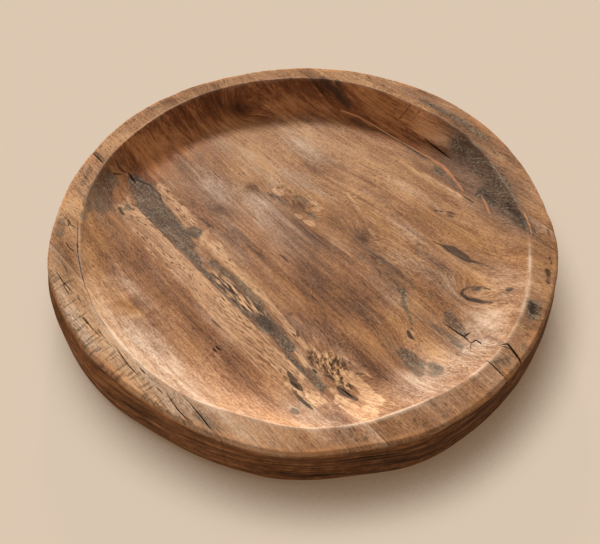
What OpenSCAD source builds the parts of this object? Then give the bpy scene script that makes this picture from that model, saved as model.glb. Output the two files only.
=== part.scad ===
// Shallow round dough bowl, turned and carved from boards glued edge to edge.
// X runs along the grain, Y across the boards and Z up. The origin is the middle of the flat base.

/* [Bowl] */
// Length over the outer wall, along the grain
bowl_length = 427; // [400:1:470]
// Height of the rim above the surface that the bowl stands on
bowl_height = 57; // [50:1:70]

/* [Boards] */
// Width of the weathered board at the left edge
left_edge_board_width = 31.5; // [27:0.5:38]
// Width of the left board, with the pale streak
left_board_width = 83; // [72:0.5:96]
// Width of the centre board
centre_board_width = 101; // [88:0.5:116]
// Width of the right board, which holds the rim patch
right_board_width = 123; // [106:0.5:140]
// Width of the narrow dark strip
dark_strip_width = 16.5; // [12:0.5:22]
// Width of the board at the right edge
right_edge_board_width = 58; // [48:0.5:68]

/* [Rim] */
// Width of the flat rim, from the outer wall to the edge of the well
rim_width = 20.5; // [15:0.5:27]
// Radius of the worn outer edge of the rim
rim_outer_round = 4.5; // [2:0.5:8]
// Radius of the crisp edge between the rim and the well
rim_inner_round = 1.5; // [0.5:0.25:3]

/* [Well] */
// Depth of the well below the rim, at its centre
well_depth = 22; // [18:0.5:28]
// Radius of the sweep that lifts the floor up to the rim
wall_sweep = 60; // [45:1:80]
// Radius of the gently dished floor
floor_sweep = 3600; // [2400:50:7000]

/* [Outside] */
// Radius of the belly, where the outer wall turns under to the flat base
belly_round = 14; // [6:0.5:24]
// Thickness planed off below the belly to make the flat base
base_trim = 1; // [0.5:0.25:3]

/* [Rim patch] */
// Width of the let-in block at the edge of the well
patch_inner_width = 22.5; // [16:0.5:30]
// Width of the let-in block at the outer wall
patch_outer_width = 18; // [12:0.5:24]
// Depth of the let-in block below the top of the rim
patch_depth = 15; // [9:0.5:17]

/* [Hidden] */

$fn = 180;

// Facets of the wide circle that the floor is a small part of
floor_facets = 3600;

// How far cuts and slabs run past the surfaces that they cross
overrun = 4;

// The boards side by side, from left to right, make up the width of the bowl
board_widths = [
    left_edge_board_width,
    left_board_width,
    centre_board_width,
    right_board_width,
    dark_strip_width,
    right_edge_board_width
];
function board_start(i) = i == 0 ? 0 : board_start(i - 1) + board_widths[i - 1];
board_count = len(board_widths);
bowl_width = board_start(board_count);

// The bowl is a turned form that is a little narrower across the grain than along it
turned_radius = bowl_length / 2;
across_share = bowl_width / bowl_length;
well_radius = turned_radius - rim_width;

// How far the sweep of the wall bites into the floor, so that the two meet in one clean line
sweep_bite = 0.03;

// The sweep of the wall runs out on the circle of the floor and passes through the edge of the well
function circles_meet(a, radius_a, b, radius_b) =
    let (
        span = norm(b - a),
        along = (b - a) / span,
        aside = [along.y, -along.x],
        foot = (radius_a * radius_a - radius_b * radius_b + span * span) / (2 * span)
    )
    a + foot * along + sqrt(radius_a * radius_a - foot * foot) * aside;
well_edge = [well_radius, bowl_height];
floor_centre = [0, bowl_height - well_depth + floor_sweep];
sweep_reach = floor_sweep - wall_sweep + sweep_bite;
sweep_centre = circles_meet(floor_centre, sweep_reach, well_edge, wall_sweep);
sweep_foot = floor_centre + (sweep_centre - floor_centre) * floor_sweep / sweep_reach;

// The rounded edge of the well touches the top of the rim and the sweep of the wall
edge_reach = wall_sweep + rim_inner_round;
edge_rise = bowl_height - rim_inner_round - sweep_centre.y;
edge_centre = sweep_centre + [sqrt(edge_reach * edge_reach - edge_rise * edge_rise), edge_rise];
edge_touch = sweep_centre + (edge_centre - sweep_centre) * wall_sweep / edge_reach;

// The let-in block lies against the joint between the centre board and the right board
patch_side = board_start(3) - bowl_width / 2;
patch_start = sweep_foot.x;
patch_end = turned_radius + overrun;
function patch_width_at(x) =
    patch_inner_width
    + (patch_outer_width - patch_inner_width) * (x - well_radius) / rim_width;

// Half of the block before it is hollowed and planed: belly, upright wall and rim
module outer_profile() {
    belly_middle = belly_round - base_trim;
    rim_middle = bowl_height - rim_outer_round;
    translate([0, -base_trim])
        square([turned_radius - belly_round, rim_middle + base_trim]);
    translate([0, belly_middle])
        square([turned_radius, rim_middle - belly_middle]);
    translate([turned_radius - belly_round, belly_middle])
        circle(belly_round);
    translate([0, rim_middle])
        square([turned_radius - rim_outer_round, rim_outer_round]);
    translate([turned_radius - rim_outer_round, rim_middle])
        circle(rim_outer_round);
}

// Half of the hollow: the dished floor and the sweep that rises to the rim
module well_profile() {
    intersection() {
        translate(floor_centre)
            circle(floor_sweep, $fn = floor_facets);
        square([sweep_foot.x, bowl_height + overrun]);
    }
    translate(sweep_centre)
        circle(wall_sweep);
}

// The sliver that is worn off the edge between the well and the rim
module worn_edge_profile() {
    difference() {
        polygon([
            edge_centre,
            [edge_centre.x, bowl_height + overrun],
            [edge_touch.x - overrun, bowl_height + overrun],
            edge_touch
        ]);
        translate(edge_centre)
            circle(rim_inner_round);
    }
}

// The whole bowl, before it is parted into its boards
module turned_form() {
    scale([1, across_share, 1])
        rotate_extrude()
            difference() {
                outer_profile();
                well_profile();
                worn_edge_profile();
            }
}

// Upright slab that holds one board of the glued panel, planed flat below
module board_slab(i) {
    edge_overrun_left = i == 0 ? overrun : 0;
    edge_overrun_right = i == board_count - 1 ? overrun : 0;
    translate([
        -turned_radius - overrun,
        board_start(i) - bowl_width / 2 - edge_overrun_left,
        0
    ])
        cube([
            bowl_length + 2 * overrun,
            board_widths[i] + edge_overrun_left + edge_overrun_right,
            bowl_height + overrun
        ]);
}

module board(i) {
    intersection() {
        turned_form();
        board_slab(i);
    }
}

// The tapered notch across the rim, open towards the centre board, that the patch fills
module patch_notch() {
    translate([0, patch_side, bowl_height - patch_depth])
        linear_extrude(patch_depth + overrun)
            polygon([
                [patch_start, -overrun],
                [patch_end, -overrun],
                [patch_end, patch_width_at(patch_end)],
                [patch_start, patch_width_at(patch_start)]
            ]);
}

module left_edge_board() {
    color([0.66, 0.48, 0.31])
        board(0);
}

module left_board() {
    color([0.62, 0.43, 0.27])
        board(1);
}

module centre_board() {
    color([0.50, 0.36, 0.25])
        board(2);
}

module right_board() {
    color([0.46, 0.31, 0.20])
        difference() {
            board(3);
            patch_notch();
        }
}

module dark_strip() {
    color([0.33, 0.21, 0.14])
        board(4);
}

module right_edge_board() {
    color([0.42, 0.26, 0.17])
        board(5);
}

module rim_patch() {
    color([0.52, 0.37, 0.24])
        intersection() {
            board(3);
            patch_notch();
        }
}

left_edge_board();
left_board();
centre_board();
right_board();
dark_strip();
right_edge_board();
rim_patch();
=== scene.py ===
import math

import bmesh
import bpy
import numpy as np
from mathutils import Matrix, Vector


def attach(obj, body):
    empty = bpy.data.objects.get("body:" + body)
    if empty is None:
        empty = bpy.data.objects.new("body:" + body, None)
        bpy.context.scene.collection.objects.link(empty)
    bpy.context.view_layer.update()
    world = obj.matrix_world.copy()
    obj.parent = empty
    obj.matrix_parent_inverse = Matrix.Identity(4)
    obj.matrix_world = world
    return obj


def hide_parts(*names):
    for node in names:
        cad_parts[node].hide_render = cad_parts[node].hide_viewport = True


# A shallow round dough bowl, glued up from boards. Sizes are in millimetres until a mesh is written.
# X runs along the grain, Y across the boards, Z up; the origin is the middle of the flat base.

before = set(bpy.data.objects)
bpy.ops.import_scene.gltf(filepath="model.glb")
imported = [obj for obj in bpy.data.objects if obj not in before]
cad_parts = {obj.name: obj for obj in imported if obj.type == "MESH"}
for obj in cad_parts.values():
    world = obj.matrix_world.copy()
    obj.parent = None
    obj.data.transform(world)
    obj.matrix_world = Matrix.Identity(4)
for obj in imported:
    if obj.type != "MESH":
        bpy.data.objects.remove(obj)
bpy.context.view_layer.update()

MM = 0.001
COARSE = 1.0

# Sizes of the solids, but for the outer edge of the rim, which is worn sharper here
LENGTH_HALF = 213.5
WIDTH_HALF = 206.5
ACROSS = WIDTH_HALF / LENGTH_HALF
HEIGHT = 57.0
RIM_WIDTH = 20.5
RIM_ROUND = 3.4
WELL_ROUND = 1.5
WELL_RADIUS = LENGTH_HALF - RIM_WIDTH
WELL_DEPTH = 22.0
FLOOR_SWEEP = 3600.0
WALL_SWEEP = 60.0
SWEEP_CENTRE = np.array([149.3, 98.15])
SWEEP_FOOT = 151.9
BELLY_ROUND = 14.0
BASE_TRIM = 1.0

# Glue planes between the boards, from left to right
SEAMS = (-175.0, -92.0, 9.0, 132.0, 148.5)
BOARDS = (
    ("left_edge_board", "weathered_wood"),
    ("left_board", "tan_wood"),
    ("centre_board", "spalted_wood"),
    ("right_board", "brown_wood"),
    ("dark_strip", "dark_wood"),
    ("right_edge_board", "red_brown_wood"),
)
PATCH_HOST = 3
PATCH_INNER_WIDTH = 22.5
PATCH_OUTER_WIDTH = 18.0
PATCH_FLOOR = HEIGHT - 15.0
PATCH_NEAR = 150.0
PATCH_REACH = 40.0

# Radius past which a place belongs to the outer wall or to the edge above it, and the height below
# which nothing belongs to the top
OUTER_RADIUS = 205.0
TOP_START = 30.0

# How the hand-worked shape leaves the oval, by angle in degrees: shares of the radius at the rim's outer
# edge and at the edge of the well, and millimetres that the outer wall bulges below the rim
RIM_OUTLINE = (
    (5, -0.005), (27, -0.004), (40, 0.013), (58, 0.006), (72, 0.017), (85, 0.028), (98, 0.029),
    (110, 0.020), (138, 0.000), (154, -0.016), (166, -0.014), (182, 0.000), (210, 0.002), (230, 0.012),
    (244, 0.030), (256, 0.013), (270, 0.001), (285, -0.015), (300, -0.001), (315, 0.014), (329, -0.003),
    (342, 0.010), (356, -0.001),
)
WELL_OUTLINE = (
    (10, 0.010), (22, 0.004), (36, -0.011), (48, -0.004), (62, -0.027), (72, -0.021), (84, -0.006),
    (102, -0.013), (116, 0.005), (135, 0.008), (154, -0.002), (170, 0.001), (190, -0.005), (215, 0.005),
    (238, -0.007), (252, 0.001), (267, -0.012), (282, -0.007), (291, -0.002), (303, -0.008), (319, 0.014),
    (340, -0.005),
)
WALL_BULGE = (
    (0, 1.5), (28, 3.0), (60, 0.0), (200, 0.0), (235, 2.5), (258, 6.5), (275, 5.0), (292, 1.5),
    (317, -2.5), (338, 1.0),
)
OUTLINE_BLUR = 17
WOBBLE_START = 120.0
BULGE_FULL = 36.0


# Numbers

def smooth(low, high, value):
    share = np.clip((value - low) / (high - low), 0.0, 1.0)
    return share * share * (3.0 - 2.0 * share)


def hashed(cell, seed):
    """A number from -1 to 1 for each whole-number cell, always the same for the same seed."""
    primes = np.array([73856093, 19349663, 83492791], dtype=np.uint64)
    n = (cell.astype(np.int64).astype(np.uint64) * primes).sum(axis=1) + np.uint64(seed * 2654435761)
    n ^= n >> np.uint64(29)
    n *= np.uint64(0xBF58476D1CE4E5B9)
    n ^= n >> np.uint64(32)
    return (n & np.uint64(0xFFFFFF)).astype(float) / 0x7FFFFF - 1.0


def noise(points, periods, seed, octaves=1):
    """Smooth noise from -1 to 1, with its period along each axis."""
    total = np.zeros(len(points))
    for octave in range(octaves):
        place = points / np.asarray(periods, float) * 2.0**octave
        cell = np.floor(place)
        share = place - cell
        share = share * share * (3.0 - 2.0 * share)
        value = np.zeros(len(points))
        for corner in np.ndindex(2, 2, 2):
            weight = np.prod(np.where(np.array(corner) == 1, share, 1.0 - share), axis=1)
            value += weight * hashed(cell + np.array(corner), seed + octave)
        total += value * 0.5**octave
    return total


def path_distance(points, path):
    """How far each point lies from a path, and how far along it, from 0 to 1."""
    path = np.asarray(path, float)
    steps = np.diff(path, axis=0)
    lengths = np.hypot(*steps.T)
    run = np.concatenate([[0.0], np.cumsum(lengths)])
    gap = np.full(len(points), np.inf)
    along = np.zeros(len(points))
    for start, step, length, before in zip(path[:-1], steps, lengths, run):
        share = np.clip((points - start) @ step / length**2, 0.0, 1.0)
        here = np.hypot(*(points - start - share[:, None] * step).T)
        nearer = here < gap
        gap[nearer] = here[nearer]
        along[nearer] = (before + share[nearer] * length) / run[-1]
    return gap, along


def box_gap(places, path):
    """How far each place lies outside the box round a path."""
    return np.abs(places - np.clip(places, path.min(axis=0), path.max(axis=0))).max(axis=1)


def round_table(pairs):
    """Values by whole degree, eased between the angles that are given."""
    angles, values = np.array(pairs, float).T
    whole = np.interp(np.arange(360), angles, values, period=360)
    blur = np.hanning(OUTLINE_BLUR)
    return np.convolve(np.tile(whole, 3), blur / blur.sum(), mode="same")[360:720]


RIM_TABLE = round_table(RIM_OUTLINE)
WELL_TABLE = round_table(WELL_OUTLINE)
BULGE_TABLE = round_table(WALL_BULGE)


def swell(radius, theta, height):
    """Share by which the worked shape is wider than the oval at a place on it."""
    turn = np.degrees(theta)
    tables = (RIM_TABLE, WELL_TABLE, BULGE_TABLE)
    rim, well, bulge = (np.interp(turn, np.arange(360), table, period=360) for table in tables)
    inside = well * smooth(WOBBLE_START, WELL_RADIUS, radius)
    outside = rim + bulge / LENGTH_HALF * smooth(HEIGHT - 2.0, BULGE_FULL, height)
    out = np.where(height < TOP_START, 1.0, smooth(WELL_RADIUS + 1.0, LENGTH_HALF - 1.0, radius))
    return inside + (outside - inside) * out


def polar(points):
    """Radius on the oval's X scale, with the worked shape taken out, and angle."""
    theta = np.arctan2(points[:, 1] / ACROSS, points[:, 0])
    reach = np.hypot(points[:, 0], points[:, 1] / ACROSS)
    radius = reach
    for _ in range(3):
        radius = reach / (1.0 + swell(radius, theta, points[:, 2]))
    return radius, theta


# The bowl's surface, ring by ring: the step between rings on the floor, how many rings the other parts
# have, the radii of those under the base, and the radii at which a ring's points are halved
RING_STEP = 1.25
FIRST_RING = 3.0
SWEEP_RINGS = 46
WELL_EDGE_RINGS = 4
RIM_RINGS = 14
RIM_EDGE_RINGS = 9
WALL_RINGS = 32
BELLY_RINGS = 12
BASE_RINGS = (202.5, 199, 194, 186, 174, 158, 138, 114, 90, 66, 44, 26, 12, 5)
RING_POINTS = 1152
TOP_HALVINGS = (104.0, 52.0, 26.0, 13.0, 6.0)
BASE_HALVINGS = (200.5, 196.0, 104.0, 26.0, 8.0)
BASE_START = 204.0


def arc(centre, radius, start, end, count):
    angles = np.radians(np.linspace(start, end, count + 1))
    return np.stack([centre[0] + radius * np.cos(angles), centre[1] + radius * np.sin(angles)], axis=1)


def profile():
    """Radius and height of each ring, from the middle of the well over the rim to that of the base."""
    floor_r = np.linspace(FIRST_RING, SWEEP_FOOT, int(SWEEP_FOOT / (RING_STEP * COARSE)))
    floor_z = HEIGHT - WELL_DEPTH + FLOOR_SWEEP - np.sqrt(FLOOR_SWEEP**2 - floor_r**2)
    rise = HEIGHT - WELL_ROUND - SWEEP_CENTRE[1]
    reach = WALL_SWEEP + WELL_ROUND
    lean = math.degrees(math.asin(rise / reach))
    edge_centre = SWEEP_CENTRE + np.array([math.sqrt(reach**2 - rise**2), rise])
    foot_angle = -math.degrees(math.acos((SWEEP_FOOT - SWEEP_CENTRE[0]) / WALL_SWEEP))
    sweep = arc(SWEEP_CENTRE, WALL_SWEEP, foot_angle, lean, int(SWEEP_RINGS / COARSE))
    well_edge = arc(edge_centre, WELL_ROUND, lean + 180.0, 90.0, WELL_EDGE_RINGS)
    rim_r = np.linspace(edge_centre[0], LENGTH_HALF - RIM_ROUND, int(RIM_RINGS / COARSE) + 1)
    rim_middle = (LENGTH_HALF - RIM_ROUND, HEIGHT - RIM_ROUND)
    rim_edge = arc(rim_middle, RIM_ROUND, 90.0, 0.0, RIM_EDGE_RINGS)
    belly_z = BELLY_ROUND - BASE_TRIM
    wall_z = np.linspace(HEIGHT - RIM_ROUND, belly_z, int(WALL_RINGS / COARSE))
    under = -math.degrees(math.asin(belly_z / BELLY_ROUND))
    belly_middle = (LENGTH_HALF - BELLY_ROUND, belly_z)
    belly = arc(belly_middle, BELLY_ROUND, 0.0, under, int(BELLY_RINGS / COARSE))
    base_r = np.array(BASE_RINGS, float)
    parts = [
        np.stack([floor_r, floor_z], axis=1),
        sweep[1:],
        well_edge[1:],
        np.stack([rim_r, np.full(len(rim_r), HEIGHT)], axis=1)[1:],
        rim_edge[1:],
        np.stack([np.full(len(wall_z), LENGTH_HALF), wall_z], axis=1)[1:],
        belly[1:],
        np.stack([base_r, np.zeros(len(base_r))], axis=1),
    ]
    return np.concatenate(parts)


def ring_count(radius, height):
    """Points round a ring: halved each time the radius halves, and again under the base."""
    count = int(RING_POINTS / COARSE)
    in_base = height <= 0.0 and radius < BASE_START
    for limit in BASE_HALVINGS if in_base else TOP_HALVINGS:
        if radius < limit:
            count //= 2
    return count


def bowl_surface():
    """Points and faces of the whole closed surface."""
    rings = []
    points = []
    total = 0
    for radius, height in profile():
        count = ring_count(radius, height)
        theta = np.arange(count) * 2.0 * math.pi / count
        share = 1.0 + swell(radius, theta, height)
        x = radius * np.cos(theta) * share
        y = radius * np.sin(theta) * share * ACROSS
        points.append(np.stack([x, y, np.full(count, height)], axis=1))
        rings.append(total + np.arange(count))
        total += count
    middle_top, middle_base = total, total + 1
    points.append(np.array([[0.0, 0.0, HEIGHT - WELL_DEPTH], [0.0, 0.0, 0.0]]))
    faces = []
    for one, two in zip(rings[:-1], rings[1:]):
        faces += ring_faces(one, two)
    first, last = rings[0], rings[-1]
    faces += [[middle_top, a, b] for a, b in zip(first, np.roll(first, -1))]
    faces += [[middle_base, b, a] for a, b in zip(last, np.roll(last, -1))]
    return np.concatenate(points), faces


def ring_faces(one, two):
    if len(one) == len(two):
        return np.stack([one, two, np.roll(two, -1), np.roll(one, -1)], axis=1).tolist()
    if len(one) < len(two):
        odd, even = two[1::2], two[0::2]
        near, far = one, np.roll(one, -1)
        fan = np.stack([near, even, odd], axis=1).tolist()
        return fan + np.stack([near, odd, np.roll(even, -1), far], axis=1).tolist()
    odd, even = one[1::2], one[0::2]
    near, far = two, np.roll(two, -1)
    fan = np.stack([even, near, odd], axis=1).tolist()
    return fan + np.stack([odd, near, far, np.roll(even, -1)], axis=1).tolist()


SURFACE_POINTS, SURFACE_FACES = bowl_surface()
FACE_LOW = np.array([SURFACE_POINTS[face, 1].min() for face in SURFACE_FACES])
FACE_HIGH = np.array([SURFACE_POINTS[face, 1].max() for face in SURFACE_FACES])


# Cutting the surface into boards: cuts beside each joint, which give the glue line its edge, how near a
# joint they reach, and how close to a plane a point counts as on it
SEAM_LINES = (0.4, 1.1)
SEAM_NEAR = 3.0
ON_PLANE = 1e-3


def slice_surface(low, high):
    """The part of the surface that touches a band across the boards, as an open mesh."""
    chosen = np.nonzero((FACE_HIGH > low) & (FACE_LOW < high))[0]
    faces = [SURFACE_FACES[i] for i in chosen]
    used, flat = np.unique(np.concatenate(faces), return_inverse=True)
    ends = np.cumsum([len(face) for face in faces])[:-1]
    local = [part.tolist() for part in np.split(flat, ends)]
    mesh = bpy.data.meshes.new("slice")
    mesh.from_pydata(SURFACE_POINTS[used].tolist(), [], local)
    bm = bmesh.new()
    bm.from_mesh(mesh)
    bpy.data.meshes.remove(mesh)
    return bm


def cut(bm, point, normal, keep_above=False, keep_below=False, near=None):
    faces = bm.faces[:] if near is None else [f for f in bm.faces if near(f.calc_center_median())]
    edges = {e for f in faces for e in f.edges}
    verts = {v for f in faces for v in f.verts}
    bmesh.ops.bisect_plane(
        bm, geom=list(verts) + list(edges) + faces, dist=1e-4, plane_co=point, plane_no=normal,
        clear_inner=keep_above, clear_outer=keep_below,
    )


def coordinates(bm):
    return np.array([v.co[:] for v in bm.verts])


def fill(bm, on_plane):
    """Closes the open loop that lies on one plane with a face."""
    edges = [e for e in bm.edges if len(e.link_faces) < 2 and all(on_plane(v.co) for v in e.verts)]
    if not edges:
        return
    made = bmesh.ops.contextual_create(bm, geom=edges)["faces"]
    for face in made:
        face.smooth = False
        for edge in face.edges:
            edge.smooth = False
    bmesh.ops.triangulate(bm, faces=made, ngon_method="EAR_CLIP")


def cut_to_board(index):
    """The surface of one board, open at its joints, and where these are."""
    low = SEAMS[index - 1] if index > 0 else -np.inf
    high = SEAMS[index] if index < len(SEAMS) else np.inf
    bm = slice_surface(low, high)
    if np.isfinite(low):
        cut(bm, (0, low, 0), (0, 1, 0), keep_above=True)
        for offset in SEAM_LINES:
            cut(bm, (0, low + offset, 0), (0, 1, 0), near=lambda c: c.y < low + SEAM_NEAR)
    if np.isfinite(high):
        cut(bm, (0, high, 0), (0, 1, 0), keep_below=True)
        for offset in SEAM_LINES:
            cut(bm, (0, high - offset, 0), (0, 1, 0), near=lambda c: c.y > high - SEAM_NEAR)
    return bm, low, high


PATCH_SLOPE = (PATCH_OUTER_WIDTH - PATCH_INNER_WIDTH) / RIM_WIDTH
PATCH_SIDE = SEAMS[PATCH_HOST - 1]
PATCH_NORMAL = Vector((-PATCH_SLOPE, 1.0, 0.0)).normalized()
PATCH_POINT = Vector((WELL_RADIUS, PATCH_SIDE + PATCH_INNER_WIDTH, 0.0))


def beyond_patch(place):
    return (place - PATCH_POINT).dot(PATCH_NORMAL)


def near_patch(place):
    return place.x > PATCH_NEAR and place.y < PATCH_SIDE + PATCH_REACH


def in_patch(place):
    return near_patch(place) and place.z > PATCH_FLOOR and beyond_patch(place) < 0.0


def on_patch_floor(place):
    return near_patch(place) and abs(place.z - PATCH_FLOOR) < ON_PLANE


def part_at_patch(bm, keep_patch):
    """Cuts round the let-in block, and keeps either the block or the board without it."""
    cut(bm, (0, 0, PATCH_FLOOR), (0, 0, 1), near=near_patch)
    cut(bm, PATCH_POINT, PATCH_NORMAL, near=near_patch)
    gone = [f for f in bm.faces if in_patch(f.calc_center_median()) != keep_patch]
    bmesh.ops.delete(bm, geom=gone, context="FACES")
    on_floor = [v for v in bm.verts if v.is_boundary and on_patch_floor(v.co)]
    for ends in (
        [v for v in on_floor if abs(v.co.y - PATCH_SIDE) < ON_PLANE],
        [v for v in on_floor if abs(beyond_patch(v.co)) < ON_PLANE],
    ):
        ends.sort(key=lambda v: v.co.x)
        bm.edges.new((ends[0], ends[-1]))


def close_patch(bm):
    fill(bm, on_patch_floor)
    fill(bm, lambda c: near_patch(c) and abs(beyond_patch(c)) < ON_PLANE)


def close_seams(bm, low, high):
    for seam in (low, high):
        if np.isfinite(seam):
            fill(bm, lambda c: abs(c.y - seam) < ON_PLANE)


# Marks of the wood, in millimetres seen from above

CHANNELS = ("pale", "grey", "dark", "orange", "tone", "ochre", "ash_and_sheen", "umber", "burl", "cream", "torn")


def streak(channel, half_width, *path, end=None, strength=1.0, board=None, pointed=False, soft=0.45):
    """A mark along a path; it may end at another half width, or be pointed at both ends."""
    end = half_width if end is None else end
    return {"channel": channel, "start": half_width, "end": end, "path": path, "strength": strength,
            "board": board, "pointed": pointed, "soft": soft}


def line(channel, half_width, *path, strength=1.0):
    return streak(channel, half_width, *path, strength=strength, pointed=True, soft=0.6)


def spot(channel, x, y, half_length, half_width, turn=0.0, strength=1.0, soft=0.55):
    reach = max(half_length - half_width, 0.01)
    dx, dy = reach * math.cos(math.radians(turn)), reach * math.sin(math.radians(turn))
    return streak(channel, half_width, (x - dx, y - dy), (x + dx, y + dy), strength=strength, soft=soft)


def spots(channel, *rows):
    return [spot(channel, *row) for row in rows]


def lines(channel, *rows):
    """Pointed marks, each given by its half width, its strength and its path."""
    return [line(channel, half_width, *path, strength=strength) for half_width, strength, *path in rows]


def cloud(channel, x, y, half_length, half_width, strength, turn=0.0, board=None):
    """A soft patch that fades out on all sides and adds to the others."""
    return {"channel": channel, "middle": (x, y), "reach": (half_length, half_width), "turn": turn,
            "strength": strength, "board": board}


def clouds(channel, *rows):
    return [cloud(channel, *row) for row in rows]


def ticks(x, y, length, count):
    """Short dark ticks side by side, a little slanted to the grain."""
    marks = []
    for i in range(count):
        left, up = x + 1.1 * math.sin(2.4 * i) - 0.5 * i, y + 1.9 * i
        marks.append(line("dark", 0.75, (left, up), (left + length, up + 0.3 * length), strength=0.8))
    return marks


# Boards that some marks stop at, by their order from left to right; the patch is counted after them
LEFT, CENTRE, PATCH = 1, 2, 6

CLOUDS = [
    # the floor: dark to the right of the middle, lighter towards the far side and the left
    *clouds("tone",
        (70, -18, 62, 26, -0.62, -6), (95, 24, 40, 16, -0.42), (32, 38, 9, 9, -0.8, 20),
        (58, 30, 16, 5, -0.7), (-76, -38, 16, 5, -0.7), (-70, -54, 14, 5, -0.6), (-35, -49, 16, 5, -0.6),
        (10, -41, 60, 4, -0.45), (0, 6, 46, 3.5, -0.5), (-100, 24, 50, 24, 0.42),
        (-95, 66, 28, 24, 0.40), (0, 112, 76, 22, 0.5, 4), (-40, 80, 40, 16, 0.22),
        (60, 135, 20, 5, 0.5), (90, 62, 40, 5, -0.45, 6), (70, 100, 22, 8, -0.2),
        (120, -50, 30, 7, -0.35), (-60, -12, 40, 10, 0.25), (95, -50, 40, 10, -0.3),
        (-76, 4, 6, 9, -0.5), (30, 70, 40, 6, 0.25, -12), (-73, 4, 12, 5, -0.9),
        (-33, 21.5, 12, 6, -0.9), (-52, 0, 18, 6, 0.25), (24, 15, 14, 4, 0.2), (-100, -26, 22, 8, 0.3),
        (-165, 58, 9, 10, -0.8), (-150, 40, 14, 12, 0.4), (-178, 30, 12, 34, -0.25),
        (-140, 132, 18, 10, -0.5), (-60, 158, 30, 10, 0.35),
    ),
    *clouds("ochre",
        (118, -18, 18, 30, 0.75), (116, 20, 7, 7, 0.8), (124, 73, 16, 8, 0.9), (-18, 36, 26, 8, 0.8),
        (20, 60, 40, 12, 0.5, -12), (108, 112, 26, 14, 0.75), (30, 100, 60, 14, 0.35),
        (-96, 6, 20, 8, 0.6), (72, -22, 8, 4, 0.6), (-20, -67, 50, 5, 0.6), (-98, -64, 30, 6, 0.6),
        (-73, 6, 12, 5, 0.9),
    ),
    # grey patches on the floor: partly greyish wood, partly a painted sheen
    *clouds("ash_and_sheen",
        (-58, 1, 34, 9, 0.7), (-90, -24, 30, 14, 0.55), (-10, -8, 50, 8, 0.35),
        (-90, 76, 26, 16, 0.35, 40), (104, 8, 14, 9, 0.5, -40), (100, 48, 26, 5, 0.4),
        (-52, 0, 20, 7, 0.5), (-12, 2, 24, 5, 0.5), (24, 15, 14, 5, 0.5), (-100, -26, 26, 12, 0.7),
    ),
    # the left board: brown beside the sapwood, ochre up its wall, pale towards the near wall
    *clouds("tone",
        (-20, -124, 90, 10, -0.28), (60, -128, 50, 9, -0.25), (0, -168, 80, 13, 0.42),
        (80, -150, 44, 16, 0.36), (120, -122, 30, 16, 0.30), (-106, -148, 16, 10, 0.40),
        (-47, -147, 13, 7, 0.70), (-32, -171, 26, 6, -0.38), (-88, -142, 22, 9, -0.35),
        (-31, -156, 5, 13, -0.3), (-52, -160, 4, 9, -0.25), (142, -106, 24, 11, -0.30, 40, LEFT),
        (-36, -160, 9, 3, -0.65), (-29, -153, 9, 2.6, -0.4), (-12, -161, 8, 3, -0.6),
        (-2, -156, 7, 2.6, -0.5), (15, -162, 8, 3, -0.45), (-14, -67, 46, 4, 0.6, 0, CENTRE),
        (0, -158, 40, 12, -0.15),
    ),
    *clouds("ochre",
        (-86, -152, 40, 18, 1, -32), (-34, -168, 12, 6, 0.6), (-120, -120, 26, 16, 0.5, -45),
        (-30, -157, 16, 9, 1.1),
    ),
    *clouds("ash_and_sheen", (-44, -143, 40, 7, 0.3), (136, -112, 28, 14, 1.2, 0, LEFT), (40, -182, 90, 7, 0.5)),
    *clouds("burl", (114, -71, 21, 9, 1.15), (132, -72, 9, 7, 0.8), (100, -80, 12, 4, 0.5)),
    *clouds("torn", (4, -83, 29, 6.6, 1.2, 0, CENTRE), (38, -79, 14, 5, 0.7, 0, CENTRE)),
    # the near and right walls, pale and a little grey: partly pale wood, partly a painted sheen where they
    # face the light
    *clouds("tone",
        (166, 46, 22, 26, 0.5), (158, 96, 24, 20, 0.1), (168, -30, 20, 30, 0.46), (156, -4, 11, 5, 0.4),
    ),
    # the small bright patch at (168, 14) is a painted glint
    *clouds("ash_and_sheen",
        (172, -20, 20, 40, 0.95), (172, 42, 18, 26, 0.6), (30, -168, 100, 14, 1.1),
        (150, 86, 22, 12, 0.5), (168, 14, 7, 4, 1.2),
    ),
    *clouds("ochre", (156, -4, 11, 5, 0.8)),
    *clouds("umber", (104, 84, 15, 7, 0.7), (140, 58, 12, 8, 0.35)),
    # the far right of the well, dull and grey
    *clouds("umber",
        (62, 156, 56, 15, 1.2, -16), (104, 144, 36, 10, 0.9, -24), (14, 158, 30, 6, 0.5),
        (30, 178, 36, 9, 0.9, -12),
    ),
    *clouds("tone", (34, 176, 40, 9, -0.55, -10)),
    # the rim
    *clouds("tone",
        (-10, -194, 100, 10, 0.52), (110, -164, 40, 18, -0.08), (166, -118, 30, 30, -0.05),
        (203, -30, 12, 60, -0.16), (196, 62, 14, 40, -0.20), (160, 124, 24, 24, -0.28),
        (20, 196, 50, 9, -0.62), (-112, 166, 44, 14, 0.42), (-204, 10, 10, 50, -0.35),
        (-172, -34, 22, 34, 0.5), (-190, -72, 14, 16, 0.45), (-150, -142, 26, 26, 0.85),
        # the patch at (-10, 174) lightens the far wall of the well: painted light
        (-90, -172, 20, 8, -0.35), (-10, 174, 36, 9, 1), (62, 162, 34, 12, 0.35, -26),
    ),
    *clouds("ash_and_sheen", (10, 196, 60, 8, 0.3), (70, 178, 26, 8, 0.3)),
    *clouds("ochre", (-112, 166, 50, 20, 0.3), (-195, -60, 12, 40, 0.2), (120, 168, 26, 12, 0.25)),
]

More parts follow.
